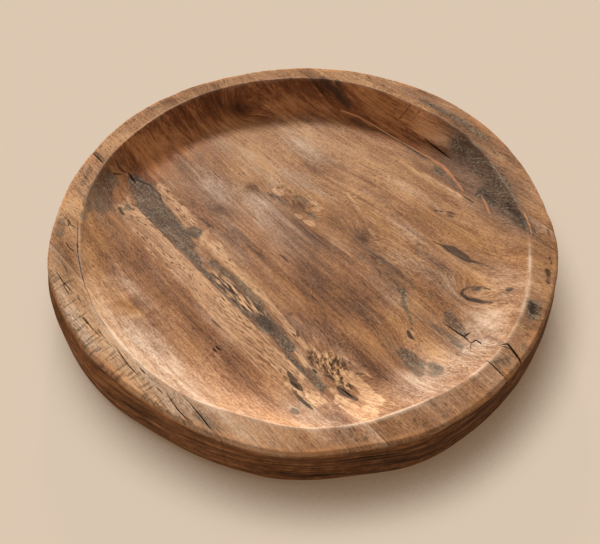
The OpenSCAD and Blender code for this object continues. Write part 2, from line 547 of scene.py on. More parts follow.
MARKS = [
    # the pale sapwood along the joint of the left board, and its slanting end
    streak("pale", 10.6, (-123, -99.6), (-60, -100), (0, -100.6), (50, -100), board=LEFT, soft=0.3),
    streak(
        "pale", 9.6, (46, -100), (76, -99), (104, -97.5), end=5.4, strength=0.85, board=LEFT, soft=0.35,
    ),
    streak("pale", 3.0, (30, -110), (62, -112), (90, -111), strength=0.5, board=LEFT),
    *lines("pale", (1.5, 1.0, (-138, -89), (-128, -97.5), (-116, -108.5))),
    # the spalted band beside it
    streak("grey", 7.6, (-147, -76), (-128, -80), (-104, -83), end=12.0, board=CENTRE),
    streak("grey", 12.0, (-106, -82.8), (-74, -83), (-56, -84), end=8.6, board=CENTRE),
    streak("grey", 8.8, (-58, -84), (-42, -87.4), (-26, -90.6), end=1.4, board=CENTRE),
    *spots("grey", (-66, -70, 8, 6, 10, 0.8), (-138, -73, 9, 6.5, 10), (-92, -84, 16, 5, 0)),
    streak("grey", 4.4, (-28, -77), (0, -77), (32, -78), end=5.4, strength=0.62, board=CENTRE),
    streak("grey", 2.8, (-26, -89), (10, -88.8), (34, -89), end=3.4, strength=0.8, board=CENTRE),
    streak("grey", 8.2, (36, -82), (58, -83.4), (80, -86), end=5.4, board=CENTRE),
    streak("grey", 2.4, (78, -89), (104, -91), (126, -92), end=1.2, strength=0.9),
    *lines("dark",
        (1.1, 0.85, (-152, -76), (-146, -72), (-137, -67), (-122, -67.4), (-113, -71)),
        (1.5, 1.0, (-157, -76.4), (-146, -77)), (1, 0.9, (-161, -90), (-158, -82)),
        (0.8, 0.7, (-172, -79), (-164, -81), (-157, -77)),
    ),
    *spots("dark",
        (4, -86, 12, 3, 0, 0.5, 0.95), (50, -83, 10, 4, 0, 0.5, 0.95), (-100, -85, 14, 4, 0, 0.4, 0.95),
        (-64, -74, 9, 3, 20, 0.4, 0.95),
    ),
    # the ragged pale edge of that band
    streak("pale", 5.8, (-128, -60.5), (-104, -63.5), (-76, -65.5), strength=0.95, board=CENTRE),
    *lines("pale",
        (3.2, 0.9, (-60, -60), (-56, -66), (-50, -73)), (2.2, 1.0, (-23, -79), (-6, -80.4), (12, -82.6)),
        (1.5, 1.0, (-14, -84.4), (6, -85.4)), (1.4, 0.8, (4, -81), (26, -84)),
        (1.2, 0.5, (38, -90), (70, -91)),
    ),
    streak("pale", 4.6, (-44, -66), (0, -67.4), (28, -68.6), end=3.0, strength=0.74, board=CENTRE),
    streak("pale", 2.2, (26, -69), (56, -72), (92, -73.6), end=3.2, strength=0.75, board=CENTRE),
    # the burl at the near end of the band
    *lines("pale",
        (2.6, 0.7, (93, -76), (101, -68.4), (113, -63)), (2.2, 1.0, (98, -79), (113, -82)),
        (1.9, 1.0, (84, -84), (109, -84.6)), (1.8, 0.8, (116, -76), (129, -71)),
        (1.2, 0.6, (112, -59), (126, -57), (142, -56)),
    ),
    *spots("pale",
        (114, -63, 7, 2.4, 0, 0.5), (108, -73, 8, 2, 8, 0.5), (130, -84, 4, 2.2, 40, 0.6),
        (140, -84, 7, 2, 10, 0.7),
    ),
    streak(
        "cream", 3.0, (126, -66.6), (142, -66), (156, -69), (162, -78), (166, -90), end=6.6,
        board=CENTRE, soft=0.6,
    ),
    streak("cream", 4.4, (140, -88.6), (152, -88.4), (164, -88), end=6.0, board=CENTRE, soft=0.6),
    *spots("cream", (152, -72, 9, 4.6, -14, 0.85)),
    streak(
        "cream", 1.6, (102, -107.6), (116, -104), (130, -100.5), end=5.4, strength=0.72, board=LEFT,
        soft=0.6,
    ),
    streak("pale", 3.6, (112, -104), (124, -98), end=3.6, strength=0.8, board=LEFT),
    streak("dark", 2.8, (132, -79.4), (139, -80), (147, -78), end=1.2),
    *spots("ash_and_sheen", (139, -80, 7, 1.4, 6, 0.6)),
    *spots("dark",
        (119.5, -79, 5, 1.6, 20, 0.6), (108.4, -84, 2.8, 1.2, 0, 0.85), (128, -76, 3.4, 1.3, 30, 0.55),
    ),
    *spots("grey",
        (114, -87.5, 12, 2, -4, 0.8), (126, -119, 4, 2.6, 20, 0.85), (127, -106, 4, 2.2, 0, 0.6),
    ),
    *lines("dark",
        (2.5, 0.9, (96, -99.6), (106, -102), (114, -102)),
        (1.2, 0.85, (108, -107), (120, -108), (132, -107.8)), (0.8, 0.7, (141, -95), (142, -89)),
    ),
    # stains and nicks on the left board
    *spots("grey", (-126, -98.6, 3.8, 3.2, 0, 0.85)),
    *spots("dark",
        (-125, -105.6, 5, 1.7, -8, 0.7), (-76, -121.6, 2, 0.9, 0, 0.6),
        (-12, -127.4, 2.4, 0.8, 20, 0.45), (74, -71, 3, 1.2, -20, 0.7),
    ),
    streak("grey", 9.0, (-158, -96), (-148, -108), (-134, -118), end=8.0, strength=0.56),
    streak("grey", 5.0, (-152, -112), (-138, -128), (-126, -140), end=3.0, strength=0.5),
    *lines("dark",
        (0.8, 1.0, (41, -127), (47, -126.4)), (0.8, 1.0, (41, -129.6), (46.5, -129.8)),
        (0.7, 0.7, (19, -114), (31, -113.4)),
    ),
    # figure in the middle
    *spots("cream", (-55, 17, 6, 3, 8, 0.7)),
    *lines("cream", (2.2, 0.8, (-24, 11), (-16, 13.4)), (2.6, 0.85, (-13, 12.6), (-2, 15))),
    *spots("pale", (-23, 33, 12, 4, -10, 0.5)),
    *lines("pale", (2, 0.5, (-18, 66), (7, 58.7), (29, 50.4), (57, 39.5))),
    *spots("grey",
        (-12, 21, 6, 2.4, 0, 0.6), (-34, 27, 9, 5, 10, 0.5), (-48, 12, 10, 2.2, 4, 0.6),
        (32, 37, 6, 7, 70, 0.34), (54, 30, 14, 3.4, 0, 0.35), (47, 12, 6, 5, 60, 0.3),
    ),
    *lines("dark",
        (0.8, 0.55, (-62, 10), (-48, 9)), (0.8, 0.45, (-22, 7), (0, 6), (22, 7)),
        (0.8, 0.7, (3, -29), (14, -29)), (0.7, 0.7, (71, 21), (76, 20.4)),
        (0.6, 0.7, (-98, 4.6), (-93, 4.6)), (0.6, 0.7, (-98, 8), (-92, 8)),
    ),
    # knots and stains at the right
    *lines("dark",
        (3.6, 1.0, (89, 81.6), (98, 84.4), (106, 85), (116, 85.2)), (0.8, 0.85, (79, 79), (92, 82)),
        (0.9, 0.9, (111, 85.4), (123, 88.6)),
        (1.7, 0.55, (147, 73.6), (138, 69.4), (133.6, 64), (132, 57)),
        (1.7, 1.0, (132, 57), (134.6, 53.4), (141, 54), (148, 58), (157, 63.4)),
        (0.9, 0.8, (164, 123), (170, 118)), (0.9, 0.7, (143, 147), (150, 141.6)),
        (0.7, 0.9, (142, 21.4), (149.5, 22.2), (163.4, 22.8), (171.3, 20.8)),
        (0.7, 0.8, (163.2, 23.4), (163.3, 25.9), (163.8, 29)),
        (0.7, 0.7, (171.2, 21), (172, 25.2), (175, 25.2), (178, 24)),
        (0.6, 0.6, (171.4, 20.4), (173, 18), (176, 13.4)),
        (1.7, 0.9, (129.6, -4.6), (133.6, -7.4), (138, -7)),
    ),
    *spots("dark",
        (104, 84.8, 10, 2.8, 6), (159.4, 80.6, 3.4, 2.4, 40, 0.7), (186, 71, 6, 2.6, -50, 0.72, 0.95),
        (175, 106, 8, 1.9, -52, 0.6),
    ),
    *spots("grey",
        (128, 91, 8, 1.5, 12, 0.5), (139, 66.6, 5, 3.4, 60, 0.7), (161, 79, 4, 3, 60, 0.6),
        (187, 69, 11, 6, -62, 0.8, 0.95), (150, -22, 13, 5, 6, 0.72), (168, -17, 8, 5.4, -10, 0.62),
        (156, -28, 10, 3.4, -4, 0.6), (141, -23, 4, 2.2, -30, 0.6), (152, 15, 15, 4, 4, 0.55),
        (164, 13.6, 7, 2.4, 0, 0.8), (117, 36, 4, 2, -35, 0.5), (148, 30, 12, 3.6, -6, 0.6),
        (152, 24, 12, 2.6, 0, 0.6), (204, 38, 7, 2.4, -60, 0.5),
    ),
    streak("grey", 2.8, (99, 21), (110, 12), (127, 2.6), end=1.8, strength=0.66),
    *spots("pale", (133.4, -3.2, 2.6, 1, -20, 0.7)),
    # the far right: stained wall, the wavy line and the split above it
    streak("grey", 9.0, (20, 178), (50, 172), (80, 160), end=9.0, strength=0.55),
    streak("grey", 6.4, (74, 150), (100, 147), (122, 142), (136, 135), end=4.0, strength=0.74),
    *spots("grey",
        (92, 157, 22, 6, -28, 0.6), (26, 146, 7, 3.6, 0, 0.66), (-4, 147.6, 12, 2, 6, 0.5),
        (48, 141, 8, 2.2, -20, 0.5),
    ),
    *spots("dark",
        (112, 145, 14, 2.2, -18, 0.45), (84, 148, 8, 1.8, -10, 0.45),
        (-112, 142.5, 22, 4, 4, 0.62, 0.98), (-104, 147, 16, 3, -4, 0.5, 0.98),
        (-66, 138.4, 18, 3.2, 12, 0.42, 0.95), (-44, 172, 7, 1.5, 86, 0.5), (-33, 175, 5, 1, 82, 0.5),
        (-30, 161.6, 1.4, 1, 0, 0.6),
    ),
    *spots("ash_and_sheen", (112, 137.6, 18, 2.2, -10, 0.9), (96, 143, 10, 1.6, -8, 0.7)),
    *lines("dark",
        (0.9, 0.7, (62, 138.4), (75, 138)),
        (0.9, 0.6, (-60, 143.4), (-30, 146.6), (-4, 149.6), (12, 151)),
    ),
    streak(
        "orange", 0.8, (-95, 135), (-86, 138.4), (-78, 141.8), (-62, 144.8), (-30, 148), (-2, 151.4),
        soft=0.3,
    ),
    *lines("orange",
        (1.5, 1.0, (-8, 150.6), (10, 153), (25, 153), (42, 148.8), (59, 142.6)),
        (0.9, 1.0, (75, 147.6), (86, 141.6), (95, 136)),
        (0.9, 1.0, (117, 148.6), (130, 140), (139, 131.6)),
    ),
    *spots("pale", (38, 135, 22, 2.6, 2, 0.5), (59, 136, 4, 2, 0, 0.6), (-12, 173, 26, 7, 0, 0.3)),
    # the rim
    *spots("grey",
        (-181, -90, 9, 2.2, 0, 0.8), (-166, -112, 12, 3, -50, 0.5), (54, 186, 8, 3.4, -20, 0.5),
        (-205, -14, 6, 2.4, 80, 0.5), (96, -174, 12, 2.4, 8, 0.5), (201, 16, 8, 5, 20, 0.4),
    ),
    *spots("dark",
        (-128, -152, 4, 1.2, -20, 0.6), (-210, -18, 2.6, 1.1, 40, 0.7), (200, 18, 7, 1.6, 70, 0.4),
    ),
    streak("grey", 3.4, (-40, 192), (0, 196.5), (40, 194), strength=0.6),
    *lines("pale", (0.8, 0.8, (170, -92.4), (193, -92.2))),
]
MARKS += ticks(67, 109.6, 7.0, 4) + ticks(56, 106, 4.0, 2) + ticks(60, 110, 3.0, 1)


def on_rim(radius, degrees):
    """A place on the rim seen from above, by its radius on the oval and its angle."""
    theta = math.radians(degrees)
    reach = radius * (1.0 + float(swell(radius, theta, HEIGHT)))
    return reach * math.cos(theta), reach * math.sin(theta) * ACROSS


def broken_line(half_width, strength, pieces, *path):
    """A line along the rim that shows in pieces, each a little off the path."""
    path = np.asarray(path, float)
    steps = np.linspace(0.0, len(path) - 1.0, 3 * pieces + 1)
    stops = np.stack([np.interp(steps, np.arange(len(path)), side) for side in path.T], axis=1)
    marks = []
    for i in range(pieces):
        aside = np.array([0.0, 0.9 * math.sin(2.6 * i)])
        start, end = stops[3 * i] + aside, stops[3 * i + 2] + aside
        shade = strength * (0.8 + 0.25 * math.cos(3.3 * i))
        marks.append(line("dark", half_width, tuple(start), tuple(end), strength=shade))
    return marks


MARKS += broken_line(0.6, 0.62, 9, (-75, -188.5), (-44, -193), (-22, -193), (0, -190), (22, -190.5),
                     (40, -189), (79, -190.4))
MARKS += broken_line(0.55, 0.5, 6, (-92, -178), (-66, -184), (-42, -187), (-10, -190.6), (16, -188.4))
MARKS += broken_line(0.55, 0.5, 6, (6, -195.6), (36, -194.4), (62, -193.6), (90, -187))
MARKS += broken_line(0.55, 0.55, 5, (30, -185.4), (56, -184), (98, -181))
MARKS += broken_line(0.55, 0.42, 4, (-66, -195), (-36, -199), (-14, -199.4))
MARKS += [
    # the weathered rim: a greyed band along its outer edge, and a crease beside the well
    streak("ash_and_sheen", 4.0, *[on_rim(208, turn) for turn in (238, 246, 254, 262, 270)], strength=0.6, soft=0.9),
    *lines("dark",
        (0.7, 0.6, (-124, -146), (-110, -154), (-95, -163), (-77, -170.8), (-57, -178)),
        (0.6, 0.42, (-66, -174.6), (-42, -181.6), (-27, -183.8), (-6, -185.6)),
    ),
    *spots("umber", (-74, -184, 10, 4, -24, 0.7, 0.9), (199, 18, 6, 4, 40, 0.6, 0.9)),
    *spots("grey", (-128, -160, 12, 4, -36, 0.5)),
]

# The wavy line past which the far right of the well is dark and reddish
WAVY_LINE = (
    (-190, 128), (-130, 133), (-97, 135), (-86, 138), (-72, 143), (-50, 146.6), (-30, 149), (-10, 151.6),
    (15, 154), (30, 152), (44, 148.6), (59, 144), (80, 146), (120, 149), (140, 131), (190, 131),
)

# Open splits: half width and depth, and the path seen from above
SPLITS = [
    (0.75, 2.6, ((-11, 165), (6, 164.6), (27, 163))),
    (0.45, 0.9, ((-192, -92), (-180, -91.8), (-170, -92.1))),
    (0.4, 0.7, ((76, -174.8), (92, -175), (110, -176))),
    (1.0, 3.2, ((190, 27.6), (194, 31.6), (199, 30.2), (207, 27.9), (214, 25.8))),
    (0.5, 1.8, ((190.5, 9.6), (202, 8.6), (214, 7.4))),
    (0.4, 1.0, ((191.6, 26.4), (195, 28.6), (198, 29))),
    (0.34, 0.8, ((144, 21.6), (149.5, 22.2), (163.4, 22.8), (171.3, 20.8))),
    (0.36, 0.7, ((163.2, 23.4), (163.3, 25.9), (163.8, 29))),
    (0.34, 0.6, ((171.2, 21), (172, 25.2), (175, 25.2), (178, 24))),
    (0.7, 1.4, ((-157, -76), (-146, -77))),
    (0.5, 1.0, ((41, -127), (46.4, -126.4))),
    (0.5, 1.0, ((41, -129.6), (46, -129.8))),
    (0.6, 0.9, ((131, -79.6), (138, -79), (145, -79))),
    (0.36, 0.7, ((-92, -186), (-76, -187.6), (-58, -187))),
    (0.34, 0.7, ((-40, -192.6), (-24, -193.4), (-10, -193))),
    (0.38, 0.8, ((4, -189), (22, -190.4), (36, -189.6))),
    (0.38, 0.8, ((58, -182.6), (76, -184), (92, -183.4))),
    (0.34, 0.6, ((-112, -165), (-104, -166), (-96, -165.6))),
    (0.34, 0.6, ((-172, -112), (-166, -113.4), (-161, -113))),
    (0.34, 0.6, ((-130, -151.4), (-124, -152), (-117, -150.6))),
]
# Splits and checks on the outer wall: half width and depth, and the path as angle in degrees and height
WALL_SPLITS = [
    (0.9, 3.0, ((7.6, 57), (6.6, 50), (5.0, 42), (4.4, 36))),
    (0.7, 2.4, ((2.6, 57), (1.4, 49), (-0.6, 42))),
    (0.9, 2.0, ((322, 41), (329, 42.5), (336, 41.6))),
    (0.7, 1.8, ((310, 34), (316, 34.8), (321, 33.6))),
    (0.8, 2.0, ((291, 38), (297, 39.4), (304, 38.4))),
    (0.6, 1.4, ((300, 24), (308, 25), (316, 24.2))),
    (0.7, 1.6, ((268, 36), (275, 35), (281, 36))),
    (0.6, 1.5, ((340, 28), (347, 29), (352, 28.4))),
    (0.6, 1.5, ((250, 30), (258, 31.4), (264, 31))),
    (0.7, 1.6, ((150, 33), (158, 34), (166, 33.4))),
    (0.6, 1.4, ((95, 27), (103, 26), (110, 27))),
    (0.7, 1.6, ((205, 36), (213, 37), (220, 36.2))),
    (0.6, 1.4, ((40, 31), (47, 32), (53, 31.4))),
]
WALL_RADIUS = 210.0
SPLIT_NEAR = 2.0

# How far the edge of a mark wanders at most
FRAY_MOST = 2.4


def frayed(base):
    """How far the edges of marks wander at each place: in long fingers along the grain."""
    return 0.8 * noise(base, (24, 2.8, 8), 41, 2) + 0.5 * noise(base, (8, 5, 6), 43, 2)


def mark_value(mark, plan, fray):
    """How strongly a mark covers each place."""
    path = np.asarray(mark["path"], float)
    reach = max(mark["start"], mark["end"]) * (1.0 + mark["soft"]) + 2.0 * FRAY_MOST
    near = np.nonzero(box_gap(plan, path) < reach)[0]
    value = np.zeros(len(plan))
    if len(near):
        gap, along = path_distance(plan[near], path)
        half = mark["start"] + (mark["end"] - mark["start"]) * along
        if mark["pointed"]:
            half = half * (0.2 + 0.8 * np.sqrt(np.sin(np.pi * np.clip(along, 0.02, 0.98))))
        gap = gap + np.minimum(0.5 * half, FRAY_MOST) * fray[near]
        value[near] = mark["strength"] * smooth(1.0 + mark["soft"], 1.0 - mark["soft"], gap / half)
    return value


def cloud_value(patch, plan):
    turn = math.radians(patch["turn"])
    away = plan - np.array(patch["middle"], float)
    along = away @ np.array([math.cos(turn), math.sin(turn)]) / patch["reach"][0]
    across = away @ np.array([-math.sin(turn), math.cos(turn)]) / patch["reach"][1]
    return patch["strength"] * np.exp(-along**2 - across**2)


def split_depth(half, depth, path, places):
    """How far an open split cuts in at each place; it narrows to its ends."""
    path = np.asarray(path, float)
    near = np.nonzero(box_gap(places, path) < SPLIT_NEAR)[0]
    cut_in = np.zeros(len(places))
    if len(near):
        gap, along = path_distance(places[near], path)
        taper = np.sqrt(np.sin(np.pi * np.clip(along, 0.01, 0.99)))
        cut_in[near] = depth * taper * (1.0 - smooth(0.15, 1.0, gap / (half * (0.35 + 0.65 * taper))))
    return cut_in


def unroll(path, theta, height):
    """A path on the outer wall and places there, in millimetres along the wall and up it."""
    path = np.array(path, float)
    middle = path[:, 0].mean()
    turn = (np.degrees(theta) - middle + 180.0) % 360.0 - 180.0
    scale = math.radians(1.0) * WALL_RADIUS
    flat_path = (path - np.array([middle, 0.0])) * np.array([scale, 1.0])
    return flat_path, np.stack([turn * scale, height], axis=1)


def wall_split_depth(half, depth, path, theta, height):
    return split_depth(half, depth, *unroll(path, theta, height))


class Places:
    """What a piece's shape and looks depend on, for each of its points."""

    def __init__(self, base, normals):
        self.base = base
        self.plan = base[:, :2]
        self.radius, self.theta = polar(base)
        up = normals[:, 2]
        height = base[:, 2]
        outer = self.radius > OUTER_RADIUS
        self.top = (height > TOP_START) * (1.0 - outer * smooth(55.6, 52.0, height))
        self.rim = smooth(WELL_RADIUS - 0.4, WELL_RADIUS + 1.6, self.radius) * self.top
        self.well = self.top * (1.0 - self.rim)
        self.under = smooth(-0.5, -0.9, up)
        self.wall = np.clip(1.0 - self.top - self.under, 0.0, 1.0) * (self.radius > 190.0)
        self.edge = smooth(206.5, 210.0, self.radius) * smooth(49.0, 53.5, height)
        around = self.theta * WALL_RADIUS
        self.unrolled = np.stack([around, base[:, 2], np.zeros(len(base))], axis=1)


def seam_gap(places):
    """Distance to the nearest glue line."""
    return np.abs(places.base[:, 1][:, None] - np.array(SEAMS)).min(axis=1)


def relief(places):
    """How far each point moves along its normal, in millimetres."""
    base = places.base
    move = places.well * (0.40 * noise(base, (70, 48, 60), 11) + 0.13 * noise(base, (19, 11, 15), 12))
    chatter = smooth(70.0, 20.0, np.hypot(base[:, 0] + 30.0, base[:, 1] + 160.0)) * places.well
    move += 0.10 * chatter * np.sin(base[:, 0] * 2.0 * math.pi / 11.0)
    move += places.rim * (0.45 * noise(base, (55, 40, 50), 13) + 0.16 * noise(base, (16, 2.6, 9), 14, 2))
    move += places.wall * 0.7 * noise(base, (48, 48, 26), 15)
    move += places.wall * 0.30 * noise(places.unrolled, (26, 2.4, 1), 16, 2)
    move -= places.edge * 0.6 * np.clip(noise(places.unrolled, (24, 90, 1), 17, 3), 0.0, 1.0)
    groove = 0.08 + 0.10 * places.rim + 0.08 * places.wall
    move -= groove * (1.0 - smooth(0.0, 1.0, seam_gap(places))) * (1.0 - places.under)
    for half, depth, path in SPLITS:
        move -= places.top * split_depth(half, depth, path, places.plan)
    for half, depth, path in WALL_SPLITS:
        move -= places.wall * wall_split_depth(half, depth, path, places.theta, base[:, 2])
    return move


FIGURES = (
    # centre, half length, half width and how far the grain bows round it
    ((-163, 56), 26, 18, 26.0), ((104, 84.6), 40, 9, 8.0), ((137, 60), 16, 13, 11.0),
    ((128, -70), 34, 16, 16.0), ((-20, 18), 30, 12, 11.0), ((-56, 17), 14, 8, 7.0),
    ((34, 38), 22, 14, 9.0), ((150, -22), 30, 16, 12.0), ((66, 112), 14, 8, 4.0),
    ((-60, 60), 60, 30, 9.0), ((-130, -100), 30, 16, 10.0), ((160, 20), 24, 14, 9.0),
)


def grain_place(places, seed):
    """Where a point lies in the timber: along the grain, across it with its waves, and through it."""
    base = places.base
    across = base[:, 1] - 0.11 * base[:, 0] * smooth(30.0, 90.0, base[:, 1])
    across = across + 4.0 * noise(base, (150, 70, 60), 21 + seed)
    across = across + 1.1 * noise(base, (46, 26, 30), 31 + seed)
    for (x, y), long, wide, bow in FIGURES:
        fall = ((base[:, 0] - x) / long) ** 2 + ((base[:, 1] - y) / wide) ** 2
        across = across + bow * np.exp(-fall)
    return np.stack([base[:, 0] + 900.0 * seed, across, base[:, 2] * 0.4 + 170.0 * seed], axis=1)


def masks(places, seed):
    """The named values that the shader reads at each point."""
    base = places.base
    values = {channel: np.zeros(len(base)) for channel in CHANNELS}
    drift_x = 7.0 * noise(base, (34, 15, 30), 51, 2)
    drift_y = 3.0 * noise(base, (40, 11, 30), 53, 2)
    drift = np.stack([drift_x, drift_y], axis=1)
    for patch in CLOUDS:
        if patch["board"] in (None, seed):
            values[patch["channel"]] += cloud_value(patch, places.plan + drift) * places.top
    fray = frayed(base)
    for mark in MARKS:
        if mark["board"] in (None, seed):
            shown = mark_value(mark, places.plan, fray) * places.top
            values[mark["channel"]] = np.maximum(values[mark["channel"]], shown)
    opened = np.zeros(len(base))
    for half, depth, path in SPLITS:
        opened = np.maximum(opened, places.top * split_depth(half * 1.5, 1.0, path, places.plan))
    for half, depth, path in WALL_SPLITS:
        cut_in = wall_split_depth(half * 1.5, 1.0, path, places.theta, base[:, 2])
        opened = np.maximum(opened, places.wall * cut_in)
    values["split"] = opened
    seam_shade = 0.15 + 0.20 * places.rim + 0.12 * places.wall
    values["seam"] = (1.0 - smooth(0.1, 0.9, seam_gap(places))) * seam_shade
    # Dark reddish wood past the wavy line. On the far left wall of the well, which lies in the key lamp's
    # shade, the same darker colour is painted in too: partly the wood's own colour, partly painted shade
    past_line = places.plan[:, 1] - np.interp(places.plan[:, 0], *np.array(WAVY_LINE, float).T)
    turn = np.degrees(places.theta) % 360.0
    far = smooth(82.0, 104.0, turn) * smooth(228.0, 196.0, turn)
    far = far * smooth(136.0, 166.0, places.radius + 4.0 * fray)
    values["deep_and_shade"] = np.maximum(smooth(-2.0, 2.0, past_line), far) * places.well
    # Painted highlight along the rounded edge of the well: a pale line where the lip catches the light,
    # strongest towards the near side and the right
    lit_side = np.maximum(smooth(228.0, 262.0, turn), smooth(44.0, 36.0, turn))
    right_side = np.maximum(smooth(318.0, 342.0, turn), smooth(44.0, 36.0, turn))
    brightest_lip = smooth(256.0, 265.0, turn) * smooth(306.0, 290.0, turn)
    lip_shine = 0.20 + 0.42 * lit_side + 0.36 * right_side + 0.35 * brightest_lip
    lip_shine = lip_shine * smooth(-0.9, 0.3, noise(places.unrolled, (34, 90, 1), 61, 2))
    values["lip_highlight"] = np.exp(-((places.radius - WELL_RADIUS - 0.2) / 1.5) ** 2) * places.top * lip_shine
    # A lighter orange band at the foot of the outer wall: partly orange wood, partly painted light thrown
    # up from the floor
    values["foot"] = places.wall * smooth(17.0, 9.0, base[:, 2] + 3.0 * fray)
    values["rim"] = places.rim
    weathered = smooth(240.0, 250.0, turn) * smooth(300.0, 291.0, turn)
    values["checked"] = places.rim * weathered * smooth(197.0, 202.0, places.radius + 1.5 * fray)
    values["wall"] = places.wall
    # The outer wall made darker towards its right side
    values["darker_right_wall"] = places.wall * np.maximum(smooth(300.0, 336.0, turn), smooth(80.0, 40.0, turn))
    values["worn"] = places.edge
    return values


# How near a split or thin line faces are split, in two rounds, and how low
SPLIT_REACH = (4.0, 2.2)
THIN_LINE = 0.76
REFINE_FLOOR = 33.0


def is_thin(mark):
    return mark["channel"] == "orange" or mark["start"] <= THIN_LINE


def refine(bm):
    """Splits the faces near open splits and thin lines twice, so that they show crisply."""
    for reach in SPLIT_REACH:
        centres = np.array([f.calc_center_median()[:] for f in bm.faces])
        near = np.zeros(len(centres), bool)
        radius, theta = polar(centres)
        thin = [path for half, depth, path in SPLITS] + [mark["path"] for mark in MARKS if is_thin(mark)]
        for path in thin:
            near |= (split_reach(centres[:, :2], path) < reach) & (centres[:, 2] > REFINE_FLOOR)
        for half, depth, path in WALL_SPLITS:
            flat_path, spots_there = unroll(path, theta, centres[:, 2])
            near |= (split_reach(spots_there, flat_path) < reach) & (radius > OUTER_RADIUS)
        faces = [face for face, chosen in zip(bm.faces, near) if chosen]
        edges = list({edge for face in faces for edge in face.edges})
        if edges:
            bmesh.ops.subdivide_edges(bm, edges=edges, cuts=1, use_grid_fill=True)


def split_reach(places, path):
    """Distance to a path, where it is near enough to matter."""
    path = np.asarray(path, float)
    gap = np.full(len(places), np.inf)
    near = np.nonzero(box_gap(places, path) < SPLIT_REACH[0])[0]
    if len(near):
        gap[near] = path_distance(places[near], path)[0]
    return gap


# Timber

def linear(red, green, blue):
    """A colour as it is seen, from 0 to 255, for a shader."""
    shares = [c / 255.0 for c in (red, green, blue)]
    return tuple(s / 12.92 if s <= 0.04045 else ((s + 0.055) / 1.055) ** 2.4 for s in shares) + (1.0,)


# Dark, middle and light tone of each timber, and how rough it is
TIMBERS = {
    "weathered_wood": ((110, 74, 46), (176, 130, 90), (214, 168, 124), 0.62),
    "tan_wood": ((92, 57, 35), (150, 103, 70), (198, 150, 110), 0.54),
    "spalted_wood": ((88, 56, 35), (146, 101, 69), (192, 146, 107), 0.52),
    "brown_wood": ((88, 56, 34), (148, 103, 68), (196, 150, 108), 0.52),
    "dark_wood": ((88, 56, 34), (146, 102, 68), (194, 148, 108), 0.54),
    "red_brown_wood": ((86, 54, 33), (142, 98, 65), (190, 143, 103), 0.54),
    "patch_wood": ((66, 42, 27), (132, 92, 61), (186, 140, 100), 0.62),
}
PITTED_SLOT = "patch_wood"
PIT = linear(58, 42, 31)
# Dark reddish wood, also used as painted shade on the far left wall of the well
DEEP_WOOD_AND_SHADE = (linear(56, 27, 11), linear(120, 66, 33), linear(196, 128, 78))
OCHRE = (linear(118, 74, 38), linear(170, 120, 72), linear(208, 158, 106))
ASH_AND_SHEEN = (linear(108, 86, 70), linear(168, 140, 118), linear(212, 190, 170))
SAPWOOD = (linear(142, 98, 64), linear(192, 146, 107), linear(222, 180, 140))
SPALT = (linear(28, 25, 22), linear(75, 64, 53), linear(138, 119, 98))
TORN = (linear(38, 31, 26), linear(118, 88, 64), linear(214, 168, 124))
KNOT = linear(40, 30, 24)
UMBER = (linear(66, 48, 37), linear(128, 97, 77), linear(176, 140, 113))
BURL = (linear(52, 36, 26), linear(142, 100, 66), linear(216, 170, 124))
CREAM = (linear(160, 112, 74), linear(206, 158, 116), linear(232, 192, 152))
GLOWING_LINE = linear(198, 136, 92)
OPEN_SPLIT = linear(24, 16, 11)
RIM_DRY = (linear(106, 72, 47), linear(164, 121, 88), linear(208, 164, 124))
WALL_WOOD = (linear(46, 27, 15), linear(114, 70, 40), linear(172, 116, 72))
WALL_DARK_TONE = linear(30, 19, 12)
# Colour of the foot band: partly orange wood, partly painted light thrown up from the floor
FOOT_BOUNCE_LIGHT = linear(142, 90, 50)
WORN_EDGE = linear(196, 136, 88)
# Colour of the painted highlight along the lip of the well
LIP_HIGHLIGHT = linear(224, 196, 170)


class Shader:
    """A small helper for building one material's nodes."""

    def __init__(self, name):
        self.material = bpy.data.materials.new(name)
        self.material.use_nodes = True
        self.tree = self.material.node_tree
        self.surface = self.tree.nodes["Principled BSDF"]

    def put(self, socket, value):
        if isinstance(value, bpy.types.NodeSocket):
            self.tree.links.new(value, socket)
        else:
            socket.default_value = value

    def node(self, kind, inputs, **settings):
        made = self.tree.nodes.new(kind)
        for key, value in settings.items():
            setattr(made, key, value)
        for key, value in inputs.items():
            self.put(made.inputs[key], value)
        return made

    def math(self, operation, one, two):
        return self.node("ShaderNodeMath", {0: one, 1: two}, operation=operation).outputs[0]

    def times(self, *values):
        product = values[0]
        for value in values[1:]:
            product = self.math("MULTIPLY", product, value)
        return product

    def sum(self, *terms):
        """Adds up values times weights, given as pairs."""
        total = None
        for value, weight in terms:
            part = self.times(value, weight)
            total = part if total is None else self.math("ADD", total, part)
        return total

    def value(self, name):
        return self.node("ShaderNodeAttribute", {}, attribute_name=name).outputs["Fac"]

    def place(self, name):
        return self.node("ShaderNodeAttribute", {}, attribute_name=name).outputs["Vector"]

    def noise(self, place, stretch, detail=2.0, roughness=0.5):
        scaled = self.node("ShaderNodeVectorMath", {0: place, 1: stretch}, operation="MULTIPLY")
        inputs = {"Vector": scaled.outputs[0], "Scale": 1.0, "Detail": detail, "Roughness": roughness}
        return self.node("ShaderNodeTexNoise", inputs).outputs[0]

    def ease(self, value, low, high, start=0.0, end=1.0):
        inputs = {"Value": value, "From Min": low, "From Max": high, "To Min": start, "To Max": end}
        return self.node("ShaderNodeMapRange", inputs, interpolation_type="SMOOTHSTEP").outputs[0]

    def mix(self, share, one, two):
        return self.node("ShaderNodeMix", {0: share, 6: one, 7: two}, data_type="RGBA").outputs[2]

    def ramp(self, value, *tones):
        made = self.node("ShaderNodeValToRGB", {0: value})
        points = made.color_ramp.elements
        points[0].color, points[1].color = tones[0], tones[-1]
        for i, tone in enumerate(tones[1:-1], 1):
            points.new(i / (len(tones) - 1)).color = tone
        return made.outputs[0]


